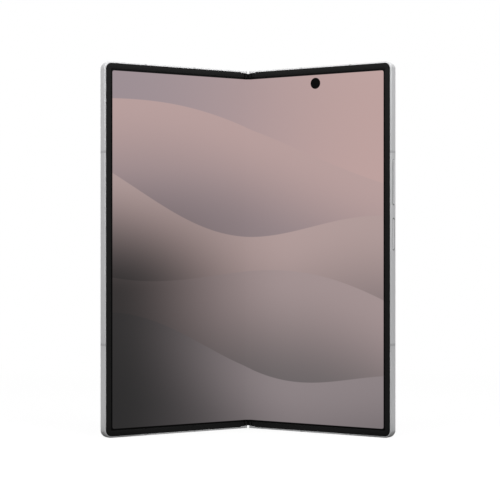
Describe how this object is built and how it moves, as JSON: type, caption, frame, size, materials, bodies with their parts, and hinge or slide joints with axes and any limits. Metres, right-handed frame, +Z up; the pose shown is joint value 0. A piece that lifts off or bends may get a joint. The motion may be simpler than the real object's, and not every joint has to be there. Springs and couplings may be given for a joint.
{
  "type": "foldable smartphone",
  "caption": "Folding smartphone standing part open: two thin metal-framed halves, a folding inner display, a geared spine hinge, side keys, a SIM tray and a raised rear camera deck.",
  "frame": {"origin": "on the surface the phone stands on, at the middle of its bounding box: X 0 is the hinge centre plane, Z 0 is the bottom edge of both halves", "axes": "+Z up along the hinge, +X towards the half with the keys, +Y towards the back; the inner display faces -Y"},
  "size_m": [0.1244, 0.0416, 0.1584],
  "materials": {
    "frame_aluminium": "satin bead-blasted, light silver",
    "spine_aluminium": "satin, light silver",
    "key_aluminium": "satin",
    "hinge_steel": "machined",
    "spring_steel": "tempered",
    "bezel_plastic": "fine matte",
    "cap_rubber": "matte",
    "antenna_plastic": "matte",
    "screen_glass": "clear gloss",
    "display_panel": "lit panel with a soft dusty-pink to charcoal design",
    "fold_film": "glossy film over the lit panel",
    "support_plate": "carbon-fibre laminate",
    "back_glass": "satin etched",
    "cover_glass": "gloss",
    "lens_glass": "coated gloss",
    "camera_black": "gloss",
    "flash_lens": "clear ribbed",
    "battery_pouch": "matte wrapped pouch",
    "circuit_board": "solder resist",
    "shield_steel": "tin plated",
    "copper": "enamelled copper",
    "flex_polyimide": "polyimide film",
    "magnet_nickel": "nickel plated",
    "speaker_plastic": "moulded"
  },
  "bodies": {
    "spine": {"spine_cover": "spine_aluminium", "hinge_blocks": "hinge_steel", "hinge_springs": "spring_steel", "hinge_screws": "hinge_steel", "fold_caps": "cap_rubber", "display_fold_zone": "fold_film", "hinge_flex_cables": "flex_polyimide"},
    "left_half": {"left_frame": "frame_aluminium", "left_hinge_brackets": "hinge_steel", "left_bezel": "bezel_plastic", "left_screen_glass": "screen_glass", "left_display_panel": "display_panel", "left_support_plate": "support_plate", "left_antenna_bands": "antenna_plastic", "cover_glass": "cover_glass", "cover_display_panel": "display_panel", "cover_camera": "camera_black", "left_battery": "battery_pouch", "left_board": "circuit_board", "left_shield_cans": "shield_steel", "sim_reader": "shield_steel", "top_speaker": "speaker_plastic", "vibration_motor": "shield_steel", "left_screws": "hinge_steel", "left_magnets": "magnet_nickel"},
    "right_half": {"right_frame": "frame_aluminium", "right_hinge_brackets": "hinge_steel", "right_bezel": "bezel_plastic", "right_screen_glass": "screen_glass", "right_display_panel": "display_panel", "right_support_plate": "support_plate", "right_antenna_bands": "antenna_plastic", "rear_glass": "back_glass", "camera_deck": "back_glass", "camera_rings": "key_aluminium", "camera_lenses": "lens_glass", "camera_modules": "camera_black", "flash_window": "flash_lens", "front_camera": "camera_black", "main_board": "circuit_board", "right_shield_cans": "shield_steel", "right_battery": "battery_pouch", "charging_coil": "copper", "usb_socket": "shield_steel", "lower_board": "circuit_board", "bottom_speaker": "speaker_plastic", "microphones": "shield_steel", "key_switches": "flex_polyimide", "right_screws": "hinge_steel", "right_magnets": "magnet_nickel"},
    "left_arms": {"left_swing_arms": "hinge_steel"},
    "right_arms": {"right_swing_arms": "hinge_steel"},
    "volume_key": {"volume_key": "key_aluminium"},
    "side_key": {"side_key": "key_aluminium"},
    "sim_tray": {"sim_tray": "key_aluminium", "sim_card": "copper"}
  },
  "joints": [
    {"name": "left_fold", "type": "hinge", "parent": "spine", "child": "left_half", "pos_m": [-0.0014, 0.01761, 0], "axis": [0, 0, 1], "range_deg": [-32.3, 57.7], "deforming": ["display_fold_zone", "hinge_flex_cables"]},
    {"name": "right_fold", "type": "hinge", "parent": "spine", "child": "right_half", "pos_m": [0.0014, 0.01761, 0], "axis": [0, 0, 1], "range_deg": [-57.7, 32.3]},
    {"name": "left_arm_swing", "type": "hinge", "parent": "spine", "child": "left_arms", "pos_m": [-0.00095, 0.01876, 0], "axis": [0, 0, 1], "range_deg": [-28.38, 50.54]},
    {"name": "right_arm_swing", "type": "hinge", "parent": "spine", "child": "right_arms", "pos_m": [0.00095, 0.01876, 0], "axis": [0, 0, 1], "range_deg": [-50.54, 28.38]},
    {"name": "volume_rock", "type": "hinge", "parent": "right_half", "child": "volume_key", "pos_m": [0.0593, -0.01787, 0.1076], "axis": [0.5344, 0.8453, 0], "range_deg": [-1.2, 1.2], "stiffness_Nm_per_rad": 0.001},
    {"name": "side_key_press", "type": "slide", "parent": "right_half", "child": "side_key", "axis": [-0.8453, 0.5344, 0], "range_m": [0, 0.0002], "stiffness_N_per_m": 50},
    {"name": "sim_tray_slide", "type": "slide", "parent": "left_half", "child": "sim_tray", "axis": [0, 0, 1], "range_m": [0, 0.02]}
  ],
  "couplings": [
    {"joint": "right_fold", "follows": "left_fold", "ratio": -1},
    {"joint": "left_arm_swing", "follows": "left_fold", "ratio": 0.87246},
    {"joint": "right_arm_swing", "follows": "left_fold", "ratio": -0.87246}
  ]
}
